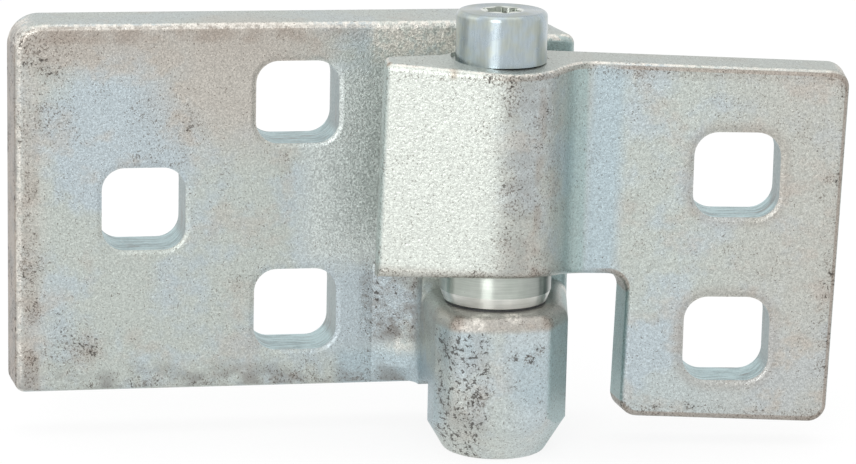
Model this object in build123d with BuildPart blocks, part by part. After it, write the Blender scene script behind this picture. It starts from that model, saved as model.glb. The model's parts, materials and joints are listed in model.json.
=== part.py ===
from build123d import *
from math import acos, cos, degrees, radians, sin, tan
import os

# Car door hinge: two forged leaves on a turned pin. Millimetres, +Z up along the pin.
# The origin is on the mounting face of the pillar leaf, straight behind the pin and level with the
# middle of the leaf's bolt holes. +X runs along the leaf past the pin, -Y faces away from the pillar.

# Hinge axis
pin_standoff = 20.0         # pin axis in front of the pillar leaf's mounting face
seat_drop = 11.4            # underside of the pin's collar below the middle of the bolt holes
door_angle = 7.5            # door leaf at rest, turned away from the pillar
door_rake = 1.5             # outline of the door leaf, leaning against the pin axis
plate_draft = 4.0           # slope of the pillar leaf's outer walls
leaf_draft = 3.0            # slope of the door leaf's outer walls
slot_draft = 8.5            # slope of the walls of the slot under the upper knuckle

# Pillar leaf
plate_thickness = 8.6
plate_reach = 68.6          # from the pin axis to the far end
plate_tail = 13.75          # from the pin axis to the end behind the knuckles
plate_height = 55.1
plate_corner = 4.6          # upper corner of the far end
plate_foot_corner = 2.0     # lower corner of the far end
plate_edge = 1.1
tail_drop = 2.2             # top edge is this much lower behind the screw
tail_slope = 7.0            # length over which the top edge comes down
tail_lean = 15.0            # end behind the knuckles, leaning in towards the pillar
tail_corner = 1.5
pillar_hole = 12.1
pillar_hole_round = 3.3
near_hole_x = 27.35         # pair of holes, from the pin axis
far_hole_x = 49.55          # single hole, from the pin axis
pair_pitch = 30.75

# Lower knuckle, on the pillar leaf
boss_left = 9.4             # left side of the boss, from the pin axis
boss_right = 10.0           # right side of the boss, from the pin axis
boss_front = 10.0           # front of the boss, from the pin axis
boss_crown = 0.5            # the front swells by this much in its middle
boss_length = 21.9
facet_right = 4.0           # width taken off the right front corner
facet_left = 1.6            # width taken off the left front corner
facet_depth = 6.0
boss_left_round = 3.0       # left corners of the boss
boss_right_round = 2.3      # right front corner of the boss
boss_shoulder = 2.2
boss_foot = 7.3             # radius of the lower end
boss_foot_angle = 31.0      # bevel round the lower end, from the pin axis
boss_foot_round = 0.8
web_reach = 15.9            # start of the root web on the plate, from the pin axis
web_knee = 11.0             # where the web turns in towards the boss, from the pin axis
web_rise = 2.2              # height of the web over the plate at that turn
web_hollow = 4.5            # height of the web over the plate where it meets the boss
web_bevel = 2.3
web_hollow_dip = 0.3        # how far the hollow side dips in, each way
web_overlap = 3.0           # how far the web reaches into the boss
web_top = 2.6               # top of the web above the collar's underside
web_fade = 1.5              # the web thins by this much at its foot and top
tie_slope = 13.0            # underside of the block behind the boss, rising to the front

# Upper knuckle and door leaf
barrel_radius = 9.2
flank_reach = 11.3          # where the barrel's flank meets the front of the leaf, from the pin axis
knuckle_seat = 4.9          # collar's seat in the upper knuckle, from the underside of the collar
leaf_back_set = 0.8         # front of the leaf behind the pin axis
leaf_thickness = 7.1
leaf_reach = 49.4
leaf_top = 34.75            # top of the leaf at the pin axis, from the underside of the collar
leaf_bottom = 17.45         # bottom of the leaf at the pin axis, below the underside of the collar
leaf_corner = 2.6
leaf_edge = 1.0
slot_top = 3.4              # top of the slot at the front of the leaf, from the underside of the collar
slot_end = 19.2             # end of the slot at the front of the leaf, from the pin axis
slot_round = 3.0
bend_round = 5.0
pad_angle = 6.0             # front of the lug, falling back from the barrel
lug_reach = 17.9
lug_rise = 0.6              # top of the lug at its tip, above the line of the leaf's top
lug_back_angle = 25.0       # back of the lug, against the leaf
lug_root_x = 9.0            # where the lug's back meets the relief, from the pin axis
lug_root_back = 1.0         # the same place, behind the pin axis
lug_corner = 1.2
relief_start = 3.0          # start of the flat relief on the barrel's back, from the pin axis
relief_round = 3.0
door_hole = 12.5
door_hole_round = 3.5
door_hole_x = 34.0
door_hole_mid = 6.9
door_hole_pitch = 24.3

# Pin, screw, bushes and washer
collar_diameter = 16.1
collar_bevel = 0.6
collar_bevel_height = 1.6
journal_diameter = 9.0
spigot_diameter = 11.0
spigot_length = 21.0
stub_diameter = 6.8
head_diameter = 10.0
head_height = 1.3
head_round = 0.9
edge_break = 0.5
screw_diameter = 8.0
screw_length = 20.0
screw_seat = 34.6           # under the screw's head, from the underside of the collar
screw_head_diameter = 13.0
screw_head_height = 7.3
screw_head_round = 0.8
screw_hole = 8.8
spot_face_diameter = 14.4
tapping_depth = 15.0
socket_diameter = 5.7
socket_waist = 4.1
socket_flute = 1.2          # radius of the six flutes between the socket's lobes
socket_depth = 3.2
bush_wall = 1.0
bush_length = 8.0
flange_thickness = 0.3
upper_flange_diameter = 14.6
lower_flange_diameter = 12.2
washer_thickness = 1.5
washer_diameter = 12.0
counterbore_diameter = 12.8
counterbore_depth = 4.2

# Clearances
running_clearance = 0.05    # radial, pin in bush
fitting_clearance = 0.02    # radial, between pieces that are pressed or screwed together
axial_play = 0.1            # along the pin, between pieces that turn on each other
seat_clearance = 0.3        # round the collar in its seat
bore_end_gap = 0.3          # between the pin's end and the end of the upper knuckle's bore

# Levels along the pin, and distances from it
seat_z = -seat_drop
knuckle_top_z = seat_z - axial_play - flange_thickness
boss_bottom_z = knuckle_top_z - boss_length
counterbore_z = boss_bottom_z + counterbore_depth
shoulder_z = counterbore_z - flange_thickness - axial_play
washer_bottom_z = shoulder_z - washer_thickness
upper_knuckle_z = seat_z + knuckle_seat
screw_seat_z = seat_z + screw_seat
plate_front = pin_standoff - plate_thickness
plate_growth = plate_thickness * tan(radians(plate_draft))
journal_bore = journal_diameter / 2 + running_clearance
bush_outside = journal_bore + bush_wall
overcut = 5.0               # how far cuts run past the metal
upright_limit = 0.001       # a wall that leans less than this is square to the plan

pin_axis = Axis((0, -pin_standoff, 0), (0, 0, 1))
pin_profile = Plane.XZ.offset(pin_standoff)
leaf_run = (cos(radians(door_angle)), -sin(radians(door_angle)), 0)
leaf_normal = (-sin(radians(door_angle)), -cos(radians(door_angle)), 0)
door_front = Plane(origin=(0, -pin_standoff, seat_z), x_dir=leaf_run, z_dir=leaf_normal)
door_plan = Plane(origin=(0, -pin_standoff, seat_z), x_dir=leaf_run, z_dir=(0, 0, 1))


def across_pin(z, facing=1):
    """Plane square to the pin at height z, facing up or down."""
    return Plane(origin=(0, -pin_standoff, z), x_dir=(1, 0, 0), z_dir=(0, 0, facing))


def square_holes(plane, places, size, corner):
    """Rounded squares at the given places, for holes punched straight through a leaf."""
    with BuildSketch(plane) as squares:
        with Locations(*places):
            RectangleRounded(size, size, corner)
    return squares.sketch


# Tie block, from the lower knuckle back to the plate
with BuildPart() as tie_block:
    boss_flank = facet_depth - boss_front
    tail_end = plate_tail - plate_growth
    web_bottom_z = -plate_height / 2 + plate_growth + edge_break
    with BuildSketch(across_pin(web_bottom_z)):
        with BuildLine():
            Polyline(
                (-boss_left, 0),
                (boss_right, boss_flank),
                (tail_end, plate_front),
                (tail_end, plate_front + plate_edge),
                (-boss_left, plate_front + plate_edge),
                close=True,
            )
        make_face()
    extrude(amount=knuckle_top_z - web_bottom_z)
    slope = radians(tie_slope)
    split(bisect_by=Plane(origin=(0, -plate_thickness, web_bottom_z), z_dir=(0, sin(slope), cos(slope))))

# Lower knuckle: faceted boss under the collar, beveled at its foot
with BuildPart() as lower_knuckle:
    boss_middle = (boss_right - boss_left) / 2
    with BuildSketch(across_pin(boss_bottom_z)) as boss_outline:
        with BuildLine():
            Polyline((facet_left - boss_left, -boss_front), (-boss_left, boss_flank), (-boss_left, 0))
            ThreePointArc((-boss_left, 0), (boss_middle, boss_left), (boss_right, 0))
            Polyline((boss_right, 0), (boss_right, boss_flank), (boss_right - facet_right, -boss_front))
            ThreePointArc(
                (boss_right - facet_right, -boss_front),
                (0, -boss_front - boss_crown),
                (facet_left - boss_left, -boss_front),
            )
        make_face()
        for corner in ((facet_left - boss_left, -boss_front), (-boss_left, boss_flank)):
            fillet(boss_outline.vertices().sort_by_distance(Vector(*corner))[0], boss_left_round)
        front_corner = Vector(boss_right - facet_right, -boss_front)
        fillet(boss_outline.vertices().sort_by_distance(front_corner)[0], boss_right_round)
    extrude(amount=boss_length)
    bevel_reach = boss_right + boss_front
    bevel_rise = (bevel_reach - boss_foot) / tan(radians(boss_foot_angle))
    with BuildSketch(pin_profile):
        with Locations((boss_middle, boss_bottom_z)):
            Polygon((boss_foot, 0), (bevel_reach, 0), (bevel_reach, bevel_rise), align=None)
    revolve(axis=Axis((boss_middle, -pin_standoff, 0), (0, 0, 1)), mode=Mode.SUBTRACT)
    fillet(lower_knuckle.faces().sort_by(Axis.Z)[0].edges(), boss_foot_round)
    add(tie_block.part)
    top = lower_knuckle.faces().sort_by(Axis.Z)[-1]
    front_and_left = top.edges().sort_by(Axis.Y)[:-1].sort_by(Axis.X)[:-1]
    fillet(front_and_left, boss_shoulder)


def web_section(z, rise, hollow):
    """Plan of the web on the left of the boss, standing the given heights over the plate."""
    with BuildSketch(across_pin(z)) as section:
        knee = (-web_knee, plate_front - rise)
        meeting = (-boss_left, plate_front - hollow)
        belly = ((knee[0] + meeting[0]) / 2 + web_hollow_dip, (knee[1] + meeting[1]) / 2 + web_hollow_dip)
        with BuildLine():
            Polyline((-web_reach, plate_front + plate_edge), (-web_reach, plate_front), knee)
            ThreePointArc(knee, belly, meeting)
            Polyline(
                meeting,
                (-boss_left + web_overlap, plate_front - hollow),
                (-boss_left + web_overlap, plate_front + plate_edge),
                (-web_reach, plate_front + plate_edge),
            )
        make_face()
    return section.sketch


# Root web: hollow-sided gusset from the plate to the boss, beveled at the foot and fading at the top
with BuildPart() as root_web:
    full_bottom_z = web_bottom_z + web_bevel
    full_top_z = seat_z + web_top - web_fade
    slim_rise = web_rise - web_fade
    slim_hollow = web_hollow - web_fade
    full_bottom = web_section(full_bottom_z, web_rise, web_hollow)
    full_top = web_section(full_top_z, web_rise, web_hollow)
    loft([web_section(web_bottom_z, slim_rise, slim_hollow), full_bottom])
    extrude(full_bottom, amount=full_top_z - full_bottom_z)
    loft([full_top, web_section(seat_z + web_top, slim_rise, slim_hollow)])

# Pillar leaf: drafted plate with its holes, the lower knuckle and its bore
with BuildPart() as pillar_leaf:
    half_height = plate_height / 2
    with BuildSketch(Plane.XZ) as plate_outline:
        with BuildLine():
            Polyline(
                (-plate_reach, -half_height),
                (plate_tail + overcut, -half_height),
                (plate_tail + overcut, half_height - tail_drop),
                (tail_slope, half_height - tail_drop),
                (0, half_height),
                (-plate_reach, half_height),
                close=True,
            )
        make_face()
        for side, radius in ((half_height, plate_corner), (-half_height, plate_foot_corner)):
            fillet(plate_outline.vertices().sort_by_distance(Vector(-plate_reach, side))[0], radius)
    extrude(amount=plate_thickness, taper=plate_draft)
    tail_turn = radians(tail_lean)
    tail_wall = Plane(origin=(plate_tail, -plate_thickness, 0), z_dir=(-cos(tail_turn), -sin(tail_turn), 0))
    split(bisect_by=tail_wall)
    tail_edges = pillar_leaf.faces().sort_by(Axis.X)[-1].edges().sort_by(Axis.Z)
    fillet([tail_edges[0], tail_edges[-1]], tail_corner)
    flat_faces = pillar_leaf.faces().sort_by(Axis.Y)
    fillet(flat_faces[0].edges() + flat_faces[-1].edges(), plate_edge)
    add(lower_knuckle.part)
    add(root_web.part)
    half_pitch = pair_pitch / 2
    pillar_holes = [(-near_hole_x, half_pitch), (-near_hole_x, -half_pitch), (-far_hole_x, 0)]
    punches = square_holes(Plane.XZ, pillar_holes, pillar_hole, pillar_hole_round)
    extrude(punches, amount=pin_standoff, both=True, mode=Mode.SUBTRACT)
    with Locations(across_pin(knuckle_top_z)):
        Hole(bush_outside + fitting_clearance, depth=boss_length)
    with Locations(across_pin(boss_bottom_z, facing=-1)):
        Hole(counterbore_diameter / 2, depth=counterbore_depth)


def lean(across, up):
    """Point of the door leaf's outline, which leans against the pin axis."""
    rake = radians(door_rake)
    return (across * cos(rake) + up * sin(rake), up * cos(rake) - across * sin(rake))


def lean_at_level(across, level):
    """Point where a leaning side of the outline crosses a level square to the pin."""
    rake = radians(door_rake)
    return lean(across, (level + across * sin(rake)) / cos(rake))


def rounded_outline(corners):
    """Face of the door leaf's front with the given corners, each with its own radius."""
    with BuildSketch(door_front.offset(-leaf_back_set)) as outline:
        with BuildLine():
            Polyline(*corners, close=True)
        make_face()
        for place, radius in corners.items():
            if radius:
                fillet(outline.vertices().sort_by_distance(Vector(*place))[0], radius)
    return outline.sketch


def drafted_block(outline, draft):
    """Block through the whole knuckle, with this outline at the leaf's front and larger further back."""
    with BuildPart() as block:
        extrude(outline, amount=leaf_back_set + barrel_radius + overcut, taper=draft)
        extrude(outline, amount=-barrel_radius - overcut, taper=-draft)
    return block.part


# Door leaf: plan of barrel, lug and leaf, trimmed to the drafted outline and slotted under the knuckle
with BuildPart() as door_leaf:
    leaf_back = leaf_back_set + leaf_thickness
    leaf_middle = leaf_back_set + leaf_thickness / 2
    pad = radians(pad_angle)
    pad_end = Vector(-barrel_radius * sin(pad), -barrel_radius * cos(pad))
    lug_far = lug_reach + lug_corner
    lug_front = pad_end.Y + (lug_far + pad_end.X) * tan(pad)
    lug_back = lug_root_back - (lug_far - lug_root_x) * tan(radians(lug_back_angle))
    bend = Vector(flank_reach, leaf_back_set)
    flank_turn = degrees(acos(barrel_radius / bend.length))
    flank_start = (bend.normalized() * barrel_radius).rotate(Axis.Z, -flank_turn)
    with BuildSketch(door_plan.offset(-leaf_bottom - overcut)) as plan:
        with BuildLine():
            Polyline(
                pad_end,
                (-lug_far, lug_front),
                (-lug_far, lug_back),
                (-lug_root_x, lug_root_back),
                (-relief_start, leaf_back),
                (leaf_reach + overcut, leaf_back),
                (leaf_reach + overcut, leaf_back_set),
                bend,
                flank_start,
            )
            ThreePointArc(flank_start, (0, -barrel_radius), pad_end)
        make_face()
        fillet(plan.vertices().sort_by_distance(bend)[0], bend_round)
        fillet(plan.vertices().sort_by_distance(Vector(-relief_start, leaf_back))[0], relief_round)
        fillet(plan.vertices().sort_by_distance(Vector(-lug_root_x, lug_root_back))[0], relief_round)
    extrude(amount=leaf_bottom + leaf_top + 2 * overcut)
    outline = {
        lean(-lug_reach, leaf_top + lug_rise): lug_corner,
        lean(0, leaf_top): 0,
        lean(leaf_reach, leaf_top): leaf_corner,
        lean(leaf_reach, -leaf_bottom): leaf_corner,
        lean(-lug_reach, -leaf_bottom): 0,
    }
    add(drafted_block(rounded_outline(outline), leaf_draft), mode=Mode.INTERSECT)
    slot = {
        lean_at_level(slot_end, slot_top): slot_round,
        lean(slot_end, -leaf_bottom - overcut): 0,
        lean(-lug_reach - overcut, -leaf_bottom - overcut): 0,
        lean_at_level(-lug_reach - overcut, slot_top): 0,
    }
    add(drafted_block(rounded_outline(slot), -slot_draft), mode=Mode.SUBTRACT)
    tab_corner = door_front.offset(-leaf_middle).from_local_coords(Vector(*lean(slot_end, -leaf_bottom)))
    fillet(door_leaf.edges().sort_by_distance(tab_corner)[0], leaf_corner)
    plan_walls = door_leaf.faces().filter_by(lambda face: abs(face.normal_at().Z) < upright_limit)
    outline_walls = door_leaf.faces() - plan_walls
    fillet(plan_walls.edges() & outline_walls.edges(), leaf_edge)
    half_pitch = door_hole_pitch / 2
    door_holes = [lean(door_hole_x, door_hole_mid + side * half_pitch) for side in (1, -1)]
    punches = square_holes(door_front, door_holes, door_hole, door_hole_round)
    extrude(punches, amount=pin_standoff, both=True, mode=Mode.SUBTRACT)
    with Locations(across_pin(screw_seat_z)):
        Hole(screw_hole / 2, depth=screw_seat - knuckle_seat)
    with Locations(across_pin(upper_knuckle_z, facing=-1)):
        Hole(spigot_diameter / 2 + fitting_clearance, depth=spigot_length + bore_end_gap)
    with BuildSketch(across_pin(screw_seat_z)):
        Circle(spot_face_diameter / 2)
    extrude(amount=overcut, mode=Mode.SUBTRACT)
    with BuildSketch(across_pin(upper_knuckle_z, facing=-1)):
        Circle(collar_diameter / 2 + seat_clearance)
    extrude(amount=overcut, mode=Mode.SUBTRACT)

# Hinge pin: spigot, collar, journal and peened end, tapped from above
with BuildPart() as hinge_pin:
    spigot_z = upper_knuckle_z + spigot_length
    spigot = spigot_diameter / 2
    collar = collar_diameter / 2
    journal = journal_diameter / 2
    stub = stub_diameter / 2
    head = head_diameter / 2
    with BuildSketch(pin_profile):
        with BuildLine():
            Polyline(
                (0, washer_bottom_z - head_height),
                (0, spigot_z),
                (spigot - edge_break, spigot_z),
                (spigot, spigot_z - edge_break),
                (spigot, upper_knuckle_z),
                (collar, upper_knuckle_z),
                (collar, seat_z + collar_bevel_height),
                (collar - collar_bevel, seat_z),
                (journal, seat_z),
                (journal, shoulder_z),
                (stub, shoulder_z),
                (stub, washer_bottom_z),
                (head, washer_bottom_z),
                (head, washer_bottom_z - head_height),
                close=True,
            )
        make_face()
    revolve(axis=pin_axis)
    fillet(hinge_pin.faces().sort_by(Axis.Z)[0].edges(), head_round)
    with Locations(across_pin(spigot_z)):
        Hole(screw_diameter / 2 + fitting_clearance, depth=tapping_depth)

# Clamp screw: cylinder head with a six-lobe socket
with BuildPart() as clamp_screw:
    with BuildSketch(across_pin(screw_seat_z)):
        Circle(screw_head_diameter / 2)
    extrude(amount=screw_head_height)
    head_top = clamp_screw.faces().sort_by(Axis.Z)[-1]
    fillet(head_top.edges(), screw_head_round)
    with BuildSketch(across_pin(screw_seat_z)):
        Circle(screw_diameter / 2)
    extrude(amount=-screw_length)
    shank_end = clamp_screw.faces().sort_by(Axis.Z)[0]
    chamfer(shank_end.edges(), edge_break)
    with BuildSketch(across_pin(screw_seat_z + screw_head_height)):
        Circle(socket_diameter / 2)
        with PolarLocations(socket_waist / 2 + socket_flute, 6):
            Circle(socket_flute, mode=Mode.SUBTRACT)
    extrude(amount=-socket_depth, mode=Mode.SUBTRACT)


def flanged_bush(seat, facing, flange_diameter):
    """Bush whose sleeve runs into the knuckle from the seat, and whose flange lies outside on it."""
    with BuildPart() as bush:
        with BuildSketch(across_pin(seat, facing)):
            Circle(flange_diameter / 2)
        extrude(amount=flange_thickness)
        with BuildSketch(across_pin(seat, facing)):
            Circle(bush_outside)
        extrude(amount=-bush_length)
        with BuildSketch(across_pin(seat, facing)):
            Circle(journal_bore)
        extrude(amount=bush_length, both=True, mode=Mode.SUBTRACT)
    return bush


upper_bush = flanged_bush(knuckle_top_z, 1, upper_flange_diameter)
lower_bush = flanged_bush(counterbore_z, -1, lower_flange_diameter)

# Retaining washer, between the pin's shoulder and its peened end
with BuildPart() as retaining_washer:
    with BuildSketch(across_pin(washer_bottom_z)):
        Circle(washer_diameter / 2)
        Circle(stub + fitting_clearance, mode=Mode.SUBTRACT)
    extrude(amount=washer_thickness)

pieces = {
    "pillar_leaf": pillar_leaf,
    "door_leaf": door_leaf,
    "hinge_pin": hinge_pin,
    "clamp_screw": clamp_screw,
    "upper_bush": upper_bush,
    "lower_bush": lower_bush,
    "retaining_washer": retaining_washer,
}
os.makedirs("parts", exist_ok=True)
for name, piece in pieces.items():
    piece.part.label = name
    export_step(piece.part, f"parts/{name}.step")
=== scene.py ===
"""Looks of a forged car door hinge: zinc-plated leaves, turned pin and clamp screw, as photographed."""
import json
from math import atan2, cos, radians, sin
from typing import NamedTuple

import bpy
from mathutils import Matrix, Vector


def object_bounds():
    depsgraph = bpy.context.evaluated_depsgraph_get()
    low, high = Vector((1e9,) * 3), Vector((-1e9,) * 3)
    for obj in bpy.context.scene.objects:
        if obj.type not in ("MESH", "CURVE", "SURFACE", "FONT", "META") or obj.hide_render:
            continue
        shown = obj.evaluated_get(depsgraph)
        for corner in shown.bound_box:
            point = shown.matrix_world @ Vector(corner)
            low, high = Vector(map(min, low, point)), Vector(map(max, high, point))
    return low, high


MM = 0.001


class Speckle(NamedTuple):
    """Noise of about a size in millimetres, and the values over which it fades from low to high."""
    size: float
    start: float
    end: float
    low: float = 0.0
    high: float = 1.0
    detail: float = 2.0
    roughness: float = 0.55
    stretch: tuple = (1.0, 1.0, 1.0)


class Scatter(NamedTuple):
    """Specks of about a size in millimetres: noise above an edge that sinks where they crowd."""
    size: float
    sparse_edge: float
    crowded_edge: float
    soft: float
    share: float
    detail: float
    roughness: float
    stretch: tuple = (1.0, 1.0, 1.0)


class Fade(NamedTuple):
    """Smooth step of a named measure, from low at its start to high at its end."""
    measure: str
    start: float
    end: float
    low: float
    high: float


class Band(NamedTuple):
    """1 between two values of a named measure, fading over the soft distance outside them."""
    measure: str
    start: float
    end: float
    soft: float


class Near(NamedTuple):
    """1 within a radius of any of some places, fading over the soft distance outside it; millimetres."""
    places: list
    radius: float
    soft: float


def over(measure, start, end):
    """0 below the start, 1 above the end."""
    return Fade(measure, start, end, 0.0, 1.0)


def under(measure, start, end):
    """1 below the start, 0 above the end."""
    return Fade(measure, start, end, 1.0, 0.0)


# Photograph: its frame, and where its camera stood
photo_width = 856
photo_height = 464
focal_px = 3700
view_azimuth = -10.77       # degrees, negative is from the left
view_elevation = 12.98
view_roll = 1.26
view_distance = 533.2 * MM  # along the view, from the camera to the pivot on the pin
pivot_px = (494.8, 296.9)   # where the photograph shows that pivot
sensor_width = 36.0
clip_start = 0.01

# Studio, in metres, degrees and watts
floor_size = 6.0
floor_white = 0.95
floor_shadow = 0.15         # share of the floor that takes the object's shadow
key_azimuth = -28.0
key_elevation = 20.0
key_distance = 0.85
key_size = 0.30
key_power = 2.0
side_azimuth = -95.0
side_elevation = 30.0
side_distance = 0.8
side_size = 0.5
side_power = 0.6
top_azimuth = 0.0
top_elevation = 90.0
top_distance = 0.75
top_size = 0.7
top_power = 0.9
pure_white = (1.0, 1.0, 1.0)

# Finish colours, linear, some of them for painted light, shade and reflection
cool_zinc = (0.505, 0.575, 0.605)
green_zinc = (0.53, 0.57, 0.535)
warm_zinc = (0.525, 0.50, 0.455)
brown_zinc = (0.37, 0.315, 0.27)
# Pale zinc: painted light on the pad and other lit places, a painted reflection in the screw's socket, and
# pale haze on the pin
pale_zinc_and_painted_light = (0.70, 0.735, 0.685)
# Blue-green zinc: painted shade and reflection on faces turned right, in bends and recesses, and on top
# faces
teal_shade_zinc = (0.36, 0.485, 0.485)
# Light blue zinc: painted sky reflection
sky_reflection_zinc = (0.46, 0.555, 0.595)
bright_zinc = (0.47, 0.51, 0.465)
screw_zinc = (0.43, 0.50, 0.54)
# Dark grey: painted shade on the right side of the pin
side_shade_grey = (0.22, 0.24, 0.23)
# Near white: painted reflection on the collar's lower bevel
bevel_reflection_white = (0.86, 0.87, 0.83)
# Pale warm zinc: painted highlight on roundings and lit spots
painted_highlight_zinc = (0.78, 0.75, 0.69)
# Dark grey: soot smears, tear marks, and painted shade on the hole walls
soot_and_shade_grey = (0.25, 0.25, 0.24)
rust_brown = (0.30, 0.20, 0.12)
scale_brown = (0.13, 0.105, 0.085)
scale_dark = (0.05, 0.042, 0.036)
wall_zinc = (0.44, 0.56, 0.575)
bush_black = (0.018, 0.019, 0.02)
bush_grey = (0.04, 0.041, 0.043)

# Skin of the forgings, in millimetres
grain_size = 0.36
fine_size = 0.19
sand_size = 0.55
skin_depth = 0.055
rim_reach = 0.8             # how far from a hole its rim is rolled over
rim_depth = 0.16
fine_share = 0.5            # height of the fine grain, against the grain
pillar_sand = 0.1           # height of the sandy cells, against the grain
door_sand = 0.5
forged_metal = 0.85
freckle_dulling = 0.4       # how much rougher a freckle is than the zinc
grain_shade = Speckle(grain_size, 0.25, 0.75, 0.87, 1.09, detail=1.0)
grain_gloss = Speckle(grain_size, 0.3, 0.7, 0.36, 0.50, detail=1.0)
fine_shade = Speckle(fine_size, 0.25, 0.75, 0.82, 1.10, detail=1.0)
salt = Speckle(0.30, 0.36, 0.64, low=-0.5, high=0.42, detail=1.0)

# Patches of tint in the zinc, and noise that breaks up the painted highlights
cool_patches = Speckle(12.0, 0.46, 0.62, high=0.8, detail=4.0, roughness=0.65)
warm_patches = Speckle(8.0, 0.50, 0.66, high=0.5, detail=4.0, roughness=0.65, stretch=(1.0, 1.0, -1.3))
highlight_breakup = Speckle(0.9, 0.38, 0.58, low=0.15, detail=3.0)
patchiness = Speckle(5.0, 0.36, 0.62, low=0.25, detail=3.0)
streaking = Speckle(4.0, 0.4, 0.6)

# Dirt on the zinc
cluster_size = 4.5
smear = Speckle(3.2, 0.42, 0.62, detail=4.0, roughness=0.6, stretch=(0.6, 1.0, 1.0))
clusters = Speckle(cluster_size, 0.44, 0.74, high=0.5, detail=4.0, roughness=0.65)
stains = Speckle(cluster_size, 0.45, 0.70, detail=4.0, roughness=0.65)
stain_start = 0.35          # crowding at which stains begin
stain_share = 0.3
freckle = Scatter(0.30, 0.61, 0.48, soft=0.08, share=0.6, detail=2.0, roughness=0.7)
pit = Scatter(0.62, 0.76, 0.55, soft=0.04, share=0.78, detail=3.0, roughness=0.65, stretch=(1.0, 0.6, 1.0))

# Walls of the holes
shear_size = 1.0
shear_stretch = (0.25, 1.4, 0.25)
shear_shade = Speckle(shear_size, 0.35, 0.60, 0.72, 1.12, detail=3.0, roughness=0.6, stretch=shear_stretch)
# Noise of the shear marks, which breaks up the painted shade on the walls
shear_breakup = Speckle(shear_size, 0.38, 0.56, low=0.45, detail=3.0, roughness=0.6, stretch=shear_stretch)
tears = Speckle(1.3, 0.60, 0.68, high=0.7, stretch=(0.22, 1.1, 0.22))
# Hole walls facing left: painted shade
shaded_wall = Fade("nx", -0.98, -0.75, 0.6, 0.0)
wall_zone = [under("from_hole", 0.05, 0.3), under("facing", 0.35, 0.8)]

# Holes in the leaves, in millimetres
pillar_hole = 12.1
pillar_hole_round = 3.3
door_hole = 12.5
door_hole_round = 3.5

# Turned pin and washer
turned_depth = 0.004        # height of the turning marks, in millimetres
ring_dulling = 0.06
ring_shade = Speckle(0.22, 0.3, 0.7, 0.90, 1.05, stretch=(0.05, 0.05, 1.0))
pin_haze_size = 3.5
pin_haze = Speckle(pin_haze_size, 0.35, 0.7, high=0.5, detail=3.0)
pin_roughness = Speckle(pin_haze_size, 0.3, 0.7, 0.27, 0.33, detail=3.0)
pin_specks = Speckle(0.5, 0.70, 0.80, high=0.6, detail=3.0, roughness=0.7)
# Right-facing side of the pin and washer: painted shade
shaded_side = Fade("nx", 0.1, 0.6, 0.0, 0.55)
# Down-facing bevels of the turned parts: painted pale reflection
collar_bevel = Band("nz", -0.5, -0.25, 0.1)
pin_gloss = {"metallic": 1.0, "anisotropic": 0.98, "anisotropic_rotation": 0.25}

# Clamp screw
drawn_dulling = 0.05
drawn_shade = Speckle(0.3, 0.3, 0.7, 0.92, 1.04, stretch=(1.0, 1.0, 0.15))
screw_haze_size = 2.5
screw_haze = Speckle(screw_haze_size, 0.35, 0.7, detail=3.0)
screw_roughness = Speckle(screw_haze_size, 0.3, 0.7, 0.24, 0.32, detail=3.0)
screw_specks = Speckle(0.4, 0.70, 0.78, high=0.5, detail=3.0, roughness=0.7)
# Top faces of the screw darkened: painted shade
screw_top_shade = Fade("nz", 0.8, 0.95, 1.0, 0.85)
# Inside the screw's socket: painted pale reflection
socket = Near([(0.0, -20.0, 28.9)], 3.3, 0.3)
screw_gloss = {"metallic": 1.0, "anisotropic": 0.85, "anisotropic_rotation": 0.25}

# Bearing bushes
mottle_size = 0.8
mottle = Speckle(mottle_size, 0.35, 0.65, detail=4.0)
bush_roughness = Speckle(mottle_size, 0.3, 0.7, 0.42, 0.58, detail=4.0)
bush_depth = 0.01

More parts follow.
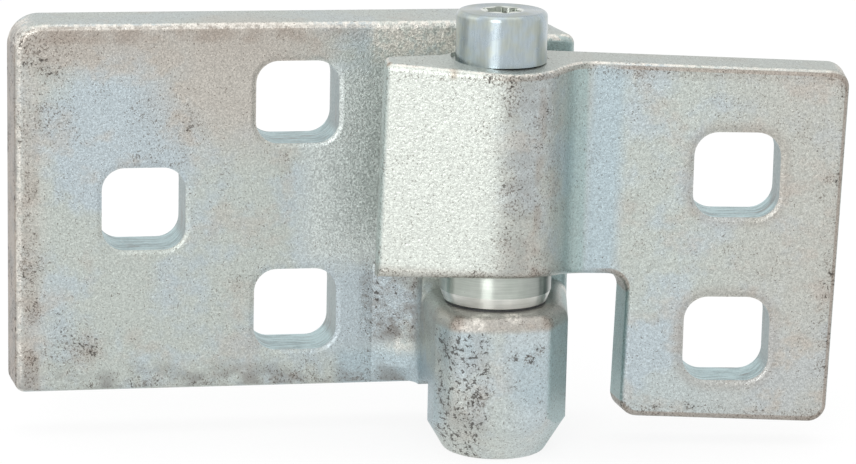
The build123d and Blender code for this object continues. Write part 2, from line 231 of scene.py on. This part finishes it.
# Zones of the pillar leaf: products of fades by place (x, y, z) and by facing (nx, ny, nz)
plate_face = -8.6
knuckle_shoulder = (-14.6, -13.4)
grimy_places = [(-62.0, plate_face, 22.0), (-62.5, plate_face, 14.0), (-60.0, plate_face, -20.5)]
pillar_zones = {
    "front": [under("ny", -0.9, -0.5)],
    # Top faces: their warm, cool and teal tints are painted reflection
    "top": [over("nz", 0.8, 0.95)],
    # Faces turned to the right: painted blue-green shade
    "right_sides": [over("nx", 0.4, 0.8)],
    "far_end": [under("x", -67.2, -65.8)],
    "forward": [under("y", -6.0, -4.0)],
    "patches": [patchiness],
    "boss": [under("y", -25.0, -19.0)],
    "shoulder": ["boss", over("z", *knuckle_shoulder)],
    "shoulder_spots": ["shoulder", Near([(-7.0, -28.5, -13.2), (5.5, -28.7, -13.5)], 0.8, 1.6)],
    # Two painted highlights on the knuckle's shoulder
    "shoulder_highlights": ["shoulder", Near([(-4.6, -29.8, -12.8), (0.8, -29.2, -11.9)], 0.4, 1.5)],
    "boss_front": ["boss", under("z", *knuckle_shoulder)],
    "boss_left": ["boss", under("nx", -0.95, -0.6)],
    "boss_right": ["boss_front", Fade("x", -2.0, 4.0, 0.3, 1.0)],
    # Low on the boss: painted reflection of the white floor
    "boss_low": ["boss_front", Fade("z", -31.0, -27.0, 0.45, 0.15)],
    # Boss front: painted sky reflection
    "boss_sky": ["boss_front", Near([(4.5, -30.0, -21.0), (-7.0, -29.0, -16.0)], 2.0, 4.5)],
    "boss_specks": [Near([(4.5, -30.0, -16.7), (0.8, -30.5, -17.7), (3.1, -30.2, -18.1)], 0.3, 1.0)],
    "pitted": ["boss_front", Band("x", -8.0, -4.0, 3.0)],
    "pitted_patches": ["pitted", "patches"],
    "web": ["forward", Band("x", -17.0, -10.5, 1.5), Band("z", -19.0, -9.5, 2.5)],
    # Foot of the web, facing down: painted sky reflection
    "web_foot": ["forward", Band("x", -20.0, -9.5, 2.0), under("z", -23.0, -20.5)],
    "by_web": ["forward", Near([(-19.0, -9.0, -15.5)], 4.0, 7.0)],
    # Painted highlight on the lower edge of the web
    "web_highlight": [Near([(-13.0, -12.0, -20.5)], 1.0, 2.2)],
    "web_rust": [Near([(-15.9, -11.0, -11.5)], 0.3, 0.8)],
    "plate": [over("y", -14.0, -10.0)],
    "plate_front": ["front", "plate"],
    # Plate front beside the knuckle, shaded by the door leaf: painted light, with cool zinc and salt grain
    "by_knuckle": ["plate_front", Band("x", -24.0, 14.0, 5.0), Band("z", -6.0, 18.0, 5.0)],
    "foot": ["plate_front", under("z", -26.5, -21.5)],
    "top_band": ["plate_front", over("z", 17.5, 24.5), under("x", -28.0, -18.0)],
    "under_edge": ["plate_front", Band("z", 24.9, 26.0, 1.8), "patches", Fade("x", -22.0, -16.0, 1.0, 0.25)],
    # Front of the plate's right end, in the knuckle's shadow: painted blue-green shade
    "tail_front": ["plate_front", over("x", 1.0, 4.0)],
    # Left of the screw head: painted light and painted highlight, over salt grain
    "screw_side": ["plate_front", Band("x", -15.0, -5.0, 3.0), over("z", 19.5, 24.0)],
    # Top roundings of the plate: painted highlight
    "upper_edge": [Band("nz", 0.30, 0.85, 0.15), "plate"],
    "left_wall": [under("nx", -0.9, -0.5), "far_end"],
    "left_wall_patches": ["left_wall", "patches"],
    # Rounding of the far left edge: painted highlight line
    "left_round": [Band("nx", -0.75, -0.25, 0.15), "far_end"],
    "left_edge": ["front", under("x", -66.5, -62.0)],
    "left_line": ["front", Band("x", -66.4, -65.0, 0.8), "patches"],
    "blue_patch": [Near([(-52.0, plate_face, 12.0)], 6.0, 10.0)],
    "beige_patch": [Near([(-36.0, plate_face, 20.0)], 5.0, 12.0)],
    "grimy_middle": [Near([(-47.0, plate_face, 12.0)], 3.0, 7.0)],
    "grimy_left": [Near(grimy_places, 2.0, 5.5)],
}

# How much of each tint, painted light, shade or reflection, or dirt the pillar leaf's zones have
pillar_tints = {
    "cool": {"blue_patch": 1.0, "by_knuckle": 1.0, "by_web": 1.0, "top": 0.1, "boss_right": 1.0},
    "warm": {"top_band": 0.9, "beige_patch": 1.0, "left_edge": 0.5, "shoulder": 0.7, "top": 0.5},
    "never_warm": {"by_knuckle": 0.5, "by_web": 0.5},
    # pale: painted light beside the knuckle and left of the screw head, painted reflection of the floor low
    # on the boss
    "pale": {"boss_low": 1.0, "by_knuckle": 0.6, "screw_side": 0.6},
    # sky: painted reflection
    "sky": {"web_foot": 0.9, "boss_sky": 0.75},
    # teal: painted shade and reflection
    "teal": {"right_sides": 0.65, "tail_front": 0.8, "boss_left": 0.15, "top": 0.2},
    "brown": {
        "under_edge": 0.75,
        "top_band": 0.2,
        "shoulder": 0.35,
        "shoulder_spots": 0.75,
        "pitted_patches": 0.3,
        "left_line": 0.45,
        "left_wall": 0.85,
    },
    # Painted highlights, broken up by noise
    "painted_highlight": {
        "upper_edge": 0.85,
        "left_round": 0.75,
        "left_edge": 0.2,
        "screw_side": 1.0,
        "shoulder_highlights": 1.0,
        "web_highlight": 0.8,
    },
    "salt": {"web": 0.55, "by_knuckle": 0.42, "screw_side": 0.5, "plate_front": 0.15},
    "soot": {"foot": 0.75, "web": 0.95, "left_wall": 0.6},
    "rust": {"web_rust": 0.5},
    "pits": {"pitted": 0.56, "left_wall_patches": 0.42},
    "dirt": {
        "left_wall_patches": 0.45,
        "left_edge": 0.42,
        "left_line": 0.62,
        "shoulder_spots": 0.5,
        "foot": 0.42,
        "grimy_left": 0.45,
        "grimy_middle": 0.32,
        "pitted": 0.32,
        "boss_specks": 0.9,
        "web": 0.5,
    },
}

# Zones of the door leaf: products of fades along the leaf and above the pivot, and by facing
door_zones = {
    "front": [under("ny", -0.6, 0.0)],
    # Top faces: their warm, cool and teal tints are painted reflection
    "top": [over("nz", 0.8, 0.95)],
    "upright": [under("nz", 0.3, 0.6)],
    "sideways": [under("tilt", 0.1, 0.3)],
    "pad": [under("along", 6.0, 9.0)],
    # Pad: painted light where it faces the key lamp, less on its top faces
    "painted_light_pad": [under("along", -4.5, 3.0), Fade("nz", 0.8, 0.95, 1.0, 0.3)],
    "turn": [Band("along", 0.5, 6.0, 3.0), "pad", "upright"],
    "turn_edge": [Band("along", 0.0, 11.0, 4.0), Band("nz", 0.12, 0.75, 0.10)],
    "streak": ["turn", Band("along", 4.6, 5.0, 0.9), streaking],
    # Right flank, bend, slot wall and lug end: painted blue-green shade
    "flank": [over("nx", 0.7, 0.95), over("along", 7.5, 10.5)],
    "bend": [Band("along", 10.0, 12.8, 2.2), over("nx", 0.06, 0.25)],
    # Beside the bend: painted sky reflection
    "beside_bend": ["upright", Band("along", 13.5, 16.0, 2.5)],
    "slot_wall": [under("nx", -0.95, -0.5), over("along", 14.0, 16.0)],
    "lug_end": [under("nx", -0.95, -0.4), under("along", -16.0, -14.0)],
    "leaf": [over("along", 12.0, 18.0)],
    "low_leaf": ["leaf", under("above", -8.0, 4.0)],
    "outer_leaf": [over("along", 24.0, 44.0)],
    "leaf_end": [over("along", 46.0, 49.0)],
    # Top rounding of the door leaf: painted highlight, fading along it
    "upper_edge": [Band("nz", 0.70, 0.88, 0.10), Fade("along", 16.0, 46.0, 0.9, 0.45)],
    "edge_line": ["leaf", Band("nz", 0.12, 0.55, 0.10)],
    "lower_edge": ["leaf", Band("nz", -0.80, -0.15, 0.10)],
    "end_edge": ["sideways", over("along", 44.0, 46.0), Band("nx", 0.25, 0.75, 0.10)],
    "upper_line": ["upright", "front", over("above", 32.0, 33.6)],
    "leaf_upper_line": ["upper_line", "leaf"],
    "lower_line": ["pad", Band("above", 4.2, 5.2, 1.2)],
    "foot_line": ["leaf", "front", under("above", -15.9, -14.4)],
    # Ring round the door leaf's holes: painted brown shadow
    "hole_shadow_ring": [under("from_hole", 0.6, 2.2)],
    "rust_spots": [Near([(-17.3, -24.6, 24.2), (-8.1, -26.8, 22.5)], 0.3, 0.9)],
    "dark_spots": [Near([(-16.4, -24.9, 23.1), (-11.0, -26.2, 22.8), (-17.3, -24.6, 23.8)], 0.1, 0.7)],
}

# How much of each tint, painted light, shade or reflection, or dirt the door leaf's zones have
door_tints = {
    "cool": {"low_leaf": 0.5, "top": 0.2},
    "warm": {"outer_leaf": 0.5, "turn": 0.2, "top": 0.8},
    "never_warm": {},
    # pale: painted light on the pad
    "pale": {"painted_light_pad": 1.0},
    # sky: painted reflection
    "sky": {"beside_bend": 0.9},
    # teal: painted shade and reflection
    "teal": {"bend": 0.7, "flank": 0.75, "slot_wall": 0.85, "lug_end": 0.45, "top": 0.3},
    "brown": {
        "edge_line": 0.75,
        "lower_edge": 0.7,
        "end_edge": 0.7,
        # painted shadow round the holes
        "hole_shadow_ring": 0.3,
        "leaf_upper_line": 0.2,
        "lower_line": 0.35,
        "turn": 0.05,
        "streak": 0.5,
        "turn_edge": 0.5,
    },
    # Painted highlight on the leaf's top rounding
    "painted_highlight": {"upper_edge": 1.0},
    "salt": {"leaf": 0.1},
    "soot": {"turn": 0.3},
    "rust": {"rust_spots": 0.75},
    "pits": {"dark_spots": 1.0},
    "dirt": {
        "upper_line": 0.4,
        "lower_line": 0.45,
        "turn_edge": 0.5,
        "lower_edge": 0.45,
        "foot_line": 0.4,
        "dark_spots": 0.9,
        "turn": 0.34,
        "lug_end": 0.5,
        "leaf_end": 0.4,
        "leaf": 0.05,
    },
}


class Surface:
    """A material's nodes, with short calls that give back sockets."""

    def __init__(self, name):
        self.material = bpy.data.materials.new(name)
        self.material.use_nodes = True
        self.tree = self.material.node_tree
        self.tree.nodes.clear()
        coordinates = self.add("ShaderNodeTexCoord").outputs
        self.place = self.stretched(coordinates["Object"], (1 / MM, 1 / MM, 1 / MM))
        self.normal = coordinates["Normal"]
        self.measures = {"n" + letter.lower(): self.axis(self.normal, letter) for letter in "XYZ"}
        self.measures["facing"] = self.math("ABSOLUTE", self.measures["ny"])
        self.measures["tilt"] = self.math("ABSOLUTE", self.measures["nz"])
        self.zones = {}

    def add(self, kind, inputs=None, **settings):
        """A new node, with its inputs linked to sockets or set to values."""
        node = self.tree.nodes.new(kind)
        for key, value in settings.items():
            setattr(node, key, value)
        for key, value in (inputs or {}).items():
            if isinstance(value, bpy.types.NodeSocket):
                self.tree.links.new(value, node.inputs[key])
            else:
                node.inputs[key].default_value = value
        return node

    def math(self, operation, first, second=0.0, clamp=False):
        node = self.add("ShaderNodeMath", {0: first, 1: second}, operation=operation, use_clamp=clamp)
        return node.outputs[0]

    def times(self, *values):
        """Product of several values."""
        product = values[0]
        for value in values[1:]:
            product = self.math("MULTIPLY", product, value)
        return product

    def most(self, *masks):
        """Largest of several masks."""
        largest = masks[0]
        for mask in masks[1:]:
            largest = self.math("MAXIMUM", largest, mask)
        return largest

    def vector_math(self, operation, first, second=(0, 0, 0)):
        return self.add("ShaderNodeVectorMath", {0: first, 1: second}, operation=operation)

    def stretched(self, vector, factors):
        return self.vector_math("MULTIPLY", vector, factors).outputs["Vector"]

    def axis(self, vector, letter):
        return self.add("ShaderNodeSeparateXYZ", {0: vector}).outputs[letter]

    def ease(self, value, start, end, low=0.0, high=1.0):
        """Smooth step of a value, from low at the start to high at the end."""
        inputs = {"Value": value, "From Min": start, "From Max": end, "To Min": low, "To Max": high}
        return self.add("ShaderNodeMapRange", inputs, interpolation_type="SMOOTHSTEP").outputs["Result"]

    def noise(self, kind):
        """Plain noise of a Speckle or a Scatter."""
        inputs = {
            "Vector": self.stretched(self.place, kind.stretch),
            "Scale": 1 / kind.size,
            "Detail": kind.detail,
            "Roughness": kind.roughness,
        }
        return self.add("ShaderNodeTexNoise", inputs).outputs["Fac"]

    def near(self, places, radius, soft):
        """Mask around each of several places."""
        distances = [self.vector_math("DISTANCE", self.place, place).outputs["Value"] for place in places]
        return self.most(*(self.ease(distance, radius, radius + soft, 1.0, 0.0) for distance in distances))

    def mask(self, term):
        """Mask of one term: a zone by its name, or a fade, a band, some places or a speckle."""
        if isinstance(term, str):
            return self.zones[term]
        if isinstance(term, Near):
            return self.near(term.places, term.radius, term.soft)
        if isinstance(term, Speckle):
            return self.ease(self.noise(term), term.start, term.end, term.low, term.high)
        measure = self.measures[term.measure]
        if isinstance(term, Fade):
            return self.ease(measure, term.start, term.end, term.low, term.high)
        rising = self.ease(measure, term.start - term.soft, term.start)
        falling = self.ease(measure, term.end, term.end + term.soft, 1.0, 0.0)
        return self.times(rising, falling)

    def zone(self, terms):
        """Product of the terms' masks."""
        return self.times(*(self.mask(term) for term in terms))

    def tints(self, zones, shares):
        """Masks of the tints: each the strongest of its zones times their shares."""
        for name, terms in zones.items():
            self.zones[name] = self.zone(terms)
        masks = {}
        for tint, parts in shares.items():
            strengths = [self.times(self.zones[name], share) for name, share in parts.items()]
            masks[tint] = self.most(*strengths) if strengths else 0.0
        return masks

    def scattered(self, kind, crowding):
        """Mask of specks, which lie closer where the crowding is high."""
        edge = self.ease(crowding, 0.0, 1.0, kind.sparse_edge, kind.crowded_edge)
        return self.ease(self.math("SUBTRACT", self.noise(kind), edge), 0.0, kind.soft, 0.0, kind.share)

    def cells(self, size):
        """Distance to the nearest of scattered points, about this far apart in millimetres."""
        inputs = {"Vector": self.place, "Scale": 1 / size}
        return self.add("ShaderNodeTexVoronoi", inputs, feature="SMOOTH_F1").outputs["Distance"]

    def blend(self, share, first, second, blend_type="MIX"):
        """Mix of two colours."""
        mixed = self.add("ShaderNodeMix", {0: share}, data_type="RGBA", blend_type=blend_type)
        for socket_in, colour in ((mixed.inputs[6], first), (mixed.inputs[7], second)):
            if isinstance(colour, bpy.types.NodeSocket):
                self.tree.links.new(colour, socket_in)
            else:
                socket_in.default_value = (*colour, 1.0)
        return mixed.outputs[2]

    def lighten(self, colour, factor):
        """Colour times a number."""
        grey = self.add("ShaderNodeCombineXYZ", {0: factor, 1: factor, 2: factor}).outputs[0]
        return self.blend(1.0, colour, grey, "MULTIPLY")

    def bump(self, height, depth):
        """Normal of a surface whose height, 0 to 1, is this deep in millimetres."""
        inputs = {"Strength": 1.0, "Distance": depth * MM, "Height": height}
        return self.add("ShaderNodeBump", inputs).outputs["Normal"]

    def round_z(self):
        """Direction round the piece's own upright axis."""
        return self.add("ShaderNodeTangent", direction_type="RADIAL", axis="Z").outputs["Tangent"]

    def finish(self, colour, roughness, normal, tangent=None, **constants):
        """Shader with linked colour, roughness and normal, and constants on its own sockets."""
        inputs = {"Base Color": colour, "Roughness": roughness, "Normal": normal}
        if tangent:
            inputs["Tangent"] = tangent
        inputs.update({key.replace("_", " ").title(): value for key, value in constants.items()})
        shader = self.add("ShaderNodeBsdfPrincipled", inputs)
        self.add("ShaderNodeOutputMaterial", {"Surface": shader.outputs[0]})
        return self.material


def dress(node, material):
    """The CAD node takes this material."""
    node.data.materials.clear()
    node.data.materials.append(material)


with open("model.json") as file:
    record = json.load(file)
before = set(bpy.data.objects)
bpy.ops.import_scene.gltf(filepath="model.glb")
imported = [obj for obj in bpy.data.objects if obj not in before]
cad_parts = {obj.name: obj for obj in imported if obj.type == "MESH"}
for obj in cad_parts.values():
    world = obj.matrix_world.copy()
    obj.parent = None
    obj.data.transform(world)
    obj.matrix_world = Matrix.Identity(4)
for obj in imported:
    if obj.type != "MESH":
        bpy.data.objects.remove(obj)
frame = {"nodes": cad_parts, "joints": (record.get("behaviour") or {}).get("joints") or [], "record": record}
cad_low, cad_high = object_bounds()
nodes = frame["nodes"]
record = frame["record"]
pivot = Vector(frame["joints"][0]["pos_m"])
mounts = {mount["name"]: mount for mount in record["mounts"]}
openings = {opening["name"]: opening["box_m"] for opening in record["physics"]["openings"]}
door_axis = mounts["door_face"]["axis"]
door_angle = atan2(door_axis[0], door_axis[1])
door_rake = radians(1.5)    # outline of the door leaf, leaning against the pin


def photo_camera():
    """Camera at the photograph's place, so that the pivot falls on its pixel."""
    azimuth, elevation, roll = radians(view_azimuth), radians(view_elevation), radians(view_roll)
    right = Vector((cos(azimuth), sin(azimuth), 0))
    back = Vector((sin(azimuth) * cos(elevation), -cos(azimuth) * cos(elevation), sin(elevation)))
    up = back.cross(right)
    frame_right = right * cos(roll) + up * sin(roll)
    frame_up = up * cos(roll) - right * sin(roll)
    across = (pivot_px[0] - photo_width / 2) * view_distance / focal_px
    above = (photo_height / 2 - pivot_px[1]) * view_distance / focal_px
    location = pivot - frame_right * across - frame_up * above + back * view_distance
    data = bpy.data.cameras.new("photo_camera")
    data.sensor_width = sensor_width
    data.lens = focal_px * sensor_width / photo_width
    data.clip_start = clip_start
    camera = bpy.data.objects.new("photo_camera", data)
    turn = Matrix((frame_right, frame_up, back)).transposed()
    camera.matrix_world = Matrix.Translation(location) @ turn.to_4x4()
    bpy.context.scene.collection.objects.link(camera)
    bpy.context.scene.camera = camera


def lamp(name, azimuth, elevation, distance, size, power):
    """Square soft lamp, aimed at the pivot."""
    turn, rise = radians(azimuth), radians(elevation)
    away = Vector((sin(turn) * cos(rise), -cos(turn) * cos(rise), sin(rise)))
    data = bpy.data.lights.new(name, "AREA")
    data.size = size
    data.energy = power
    light = bpy.data.objects.new(name, data)
    light.location = pivot + away * distance
    light.rotation_euler = away.to_track_quat("Z", "Y").to_euler()
    bpy.context.scene.collection.objects.link(light)


def studio_floor():
    """Pale floor under the object, white to the camera apart from a soft shadow."""
    half = floor_size / 2
    level = cad_low.z
    mesh = bpy.data.meshes.new("floor")
    corners = [(-half, -half, level), (half, -half, level), (half, half, level), (-half, half, level)]
    mesh.from_pydata(corners, [], [(0, 1, 2, 3)])
    floor = bpy.data.objects.new("floor", mesh)
    bpy.context.scene.collection.objects.link(floor)
    surface = Surface("floor")
    pale = surface.add("ShaderNodeBsdfDiffuse", {"Color": (floor_white, floor_white, floor_white, 1)})
    white = surface.add("ShaderNodeEmission", {"Color": (*pure_white, 1), "Strength": 1.0})
    path = surface.add("ShaderNodeLightPath").outputs
    seen = surface.most(path["Is Camera Ray"], path["Is Glossy Ray"])
    share = surface.times(seen, 1 - floor_shadow)
    mixed = surface.add("ShaderNodeMixShader", {0: share, 1: pale.outputs[0], 2: white.outputs[0]})
    surface.add("ShaderNodeOutputMaterial", {"Surface": mixed.outputs[0]})
    dress(floor, surface.material)


def studio_world():
    """White surroundings, as in a light tent."""
    world = bpy.data.worlds.new("studio")
    bpy.context.scene.world = world
    world.use_nodes = True
    world.node_tree.nodes["Background"].inputs["Color"].default_value = (*pure_white, 1)


def middles_of(prefix):
    """Middles of the openings whose names start like this, in millimetres."""
    corners = [box for name, box in openings.items() if name.startswith(prefix)]
    return [(Vector(low) + Vector(high)) / 2 / MM for low, high in corners]


def hole_distance(surface, flat, middles, half, corner):
    """Distance outwards from the edge of the nearest rounded square hole, in millimetres."""
    nearest = None
    for across, up in middles:
        offset = surface.vector_math("SUBTRACT", flat, (across, 0, up)).outputs["Vector"]
        away = surface.vector_math("ABSOLUTE", offset).outputs["Vector"]
        past = surface.vector_math("SUBTRACT", away, (half - corner, 0, half - corner)).outputs["Vector"]
        past = surface.vector_math("MAXIMUM", past).outputs["Vector"]
        distance = surface.vector_math("LENGTH", past).outputs["Value"]
        distance = surface.math("SUBTRACT", distance, corner)
        nearest = distance if nearest is None else surface.math("MINIMUM", nearest, distance)
    return nearest


def plated(surface, masks):
    """Colour of the zinc in large soft patches, where the masks put its tints, with painted light,
    reflection, shade and highlights among them.
    """
    cool = surface.math("ADD", surface.mask(cool_patches), masks["cool"], clamp=True)
    warm_places = surface.math("SUBTRACT", masks["warm"], masks["never_warm"])
    warm = surface.math("ADD", surface.mask(warm_patches), warm_places, clamp=True)
    colour = surface.blend(cool, green_zinc, cool_zinc)
    colour = surface.blend(warm, colour, warm_zinc)
    for tint, zinc in (("pale", pale_zinc_and_painted_light), ("sky", sky_reflection_zinc), ("teal", teal_shade_zinc), ("brown", brown_zinc)):
        colour = surface.blend(masks[tint], colour, zinc)
    return surface.blend(surface.times(masks["painted_highlight"], surface.mask(highlight_breakup)), colour, painted_highlight_zinc)


def soiled(surface, colour, masks):
    """Soot, rust, brown freckles and black pits over the zinc, crowded where the masks say."""
    colour = surface.blend(surface.times(masks["soot"], surface.mask(smear)), colour, soot_and_shade_grey)
    colour = surface.blend(masks["rust"], colour, rust_brown)
    crowding = surface.math("ADD", surface.mask(clusters), masks["dirt"], clamp=True)
    stained = surface.ease(crowding, stain_start, 1.0, 0.0, stain_share)
    colour = surface.blend(surface.times(surface.mask(stains), stained), colour, brown_zinc)
    freckles = surface.scattered(freckle, crowding)
    colour = surface.blend(freckles, colour, scale_brown)
    pits = surface.scattered(pit, surface.math("ADD", crowding, masks["pits"], clamp=True))
    return surface.blend(pits, colour, scale_dark), freckles


def sheared(surface):
    """Colour of the hole walls: bluish zinc with shear marks, painted shade where they face left."""
    colour = surface.lighten(wall_zinc, surface.mask(shear_shade))
    colour = surface.blend(surface.zone([shaded_wall, shear_breakup]), colour, soot_and_shade_grey)
    return surface.blend(surface.mask(tears), colour, soot_and_shade_grey)


def forged(surface, masks, sand):
    """Zinc over a forged skin, soiled, with sheared hole walls and rolled rims."""
    colour = plated(surface, masks)
    colour = surface.lighten(colour, surface.mask(grain_shade))
    colour = surface.lighten(colour, surface.mask(fine_shade))
    salted = surface.times(masks["salt"], surface.mask(salt))
    colour = surface.lighten(colour, surface.math("ADD", salted, 1.0))
    colour, freckles = soiled(surface, colour, masks)
    colour = surface.blend(surface.zone(wall_zone), colour, sheared(surface))
    fine = surface.times(surface.noise(fine_shade), fine_share)
    peel = surface.times(surface.cells(sand_size), sand)
    skin = surface.math("ADD", surface.math("ADD", surface.noise(grain_shade), fine), peel)
    rolled = surface.ease(surface.measures["from_hole"], 0.0, rim_reach, rim_depth / skin_depth, 0.0)
    height = surface.math("SUBTRACT", skin, rolled)
    rough = surface.math("ADD", surface.mask(grain_gloss), surface.times(freckles, freckle_dulling))
    return surface.finish(colour, rough, surface.bump(height, skin_depth), metallic=forged_metal)


def pillar_material():
    """The pillar leaf: blue and beige plate, dark specks by its edges and on the lower knuckle."""
    surface = Surface("pillar_forging")
    flat = surface.stretched(surface.place, (1, 0, 1))
    middles = [(middle.x, middle.z) for middle in middles_of("pillar")]
    from_hole = hole_distance(surface, flat, middles, pillar_hole / 2, pillar_hole_round)
    surface.measures["from_hole"] = from_hole
    for letter in "XYZ":
        surface.measures[letter.lower()] = surface.axis(surface.place, letter)
    return forged(surface, surface.tints(pillar_zones, pillar_tints), pillar_sand)


def door_material():
    """The door leaf: near-white pad in painted light, blue-green painted shade in its bend, warm grey leaf
    with a coarse skin.
    """
    surface = Surface("door_forging")
    run = Vector((cos(door_angle), -sin(door_angle), 0))
    rise = Vector((0, 0, cos(door_rake))) + run * sin(door_rake)
    out = run * cos(door_rake) - Vector((0, 0, sin(door_rake)))
    pin = pivot / MM
    from_pin = surface.vector_math("SUBTRACT", surface.place, tuple(pin)).outputs["Vector"]
    along = surface.vector_math("DOT_PRODUCT", from_pin, tuple(out)).outputs["Value"]
    above = surface.vector_math("DOT_PRODUCT", from_pin, tuple(rise)).outputs["Value"]
    flat = surface.add("ShaderNodeCombineXYZ", {0: along, 2: above}).outputs[0]
    middles = [((middle - pin).dot(out), (middle - pin).dot(rise)) for middle in middles_of("door")]
    from_hole = hole_distance(surface, flat, middles, door_hole / 2, door_hole_round)
    surface.measures.update({"along": along, "above": above, "from_hole": from_hole})
    return forged(surface, surface.tints(door_zones, door_tints), door_sand)


def turned_material():
    """Bright zinc turned on a lathe, with fine rings that draw its gloss out along the axis, painted shade
    on its right side and a painted pale reflection on its down-facing bevel.
    """
    surface = Surface("turned_zinc")
    rings = surface.noise(ring_shade)
    colour = surface.blend(surface.mask(pin_haze), bright_zinc, pale_zinc_and_painted_light)
    colour = surface.blend(surface.mask(shaded_side), colour, side_shade_grey)
    colour = surface.blend(surface.mask(collar_bevel), colour, bevel_reflection_white)
    colour = surface.lighten(colour, surface.mask(ring_shade))
    colour = surface.blend(surface.mask(pin_specks), colour, scale_brown)
    rough = surface.math("ADD", surface.mask(pin_roughness), surface.times(rings, ring_dulling))
    return surface.finish(colour, rough, surface.bump(rings, turned_depth), surface.round_z(), **pin_gloss)


def screw_material():
    """Smooth bluish zinc on the clamp screw, with painted shade on its top faces and a painted pale
    reflection in its socket.
    """
    surface = Surface("screw_zinc")
    drawn = surface.noise(drawn_shade)
    colour = surface.blend(surface.mask(screw_haze), screw_zinc, bright_zinc)
    colour = surface.lighten(colour, surface.mask(screw_top_shade))
    colour = surface.blend(surface.mask(socket), colour, pale_zinc_and_painted_light)
    colour = surface.lighten(colour, surface.mask(drawn_shade))
    colour = surface.blend(surface.mask(screw_specks), colour, scale_brown)
    rough = surface.math("ADD", surface.mask(screw_roughness), surface.times(drawn, drawn_dulling))
    return surface.finish(colour, rough, surface.bump(drawn, turned_depth), surface.round_z(), **screw_gloss)


def bush_material():
    """Dark bearing polymer, slightly mottled."""
    surface = Surface("bush_polymer")
    colour = surface.blend(surface.mask(mottle), bush_black, bush_grey)
    normal = surface.bump(surface.noise(mottle), bush_depth)
    return surface.finish(colour, surface.mask(bush_roughness), normal, metallic=0.0)


turned_zinc = turned_material()
bush_polymer = bush_material()
dress(nodes["pillar_leaf"], pillar_material())
dress(nodes["door_leaf"], door_material())
dress(nodes["hinge_pin"], turned_zinc)
dress(nodes["retaining_washer"], turned_zinc)
dress(nodes["clamp_screw"], screw_material())
dress(nodes["upper_bush"], bush_polymer)
dress(nodes["lower_bush"], bush_polymer)

studio_floor()
studio_world()
lamp("key", key_azimuth, key_elevation, key_distance, key_size, key_power)
lamp("side", side_azimuth, side_elevation, side_distance, side_size, side_power)
lamp("top", top_azimuth, top_elevation, top_distance, top_size, top_power)
photo_camera()
bpy.context.scene.view_settings.view_transform = "Standard"
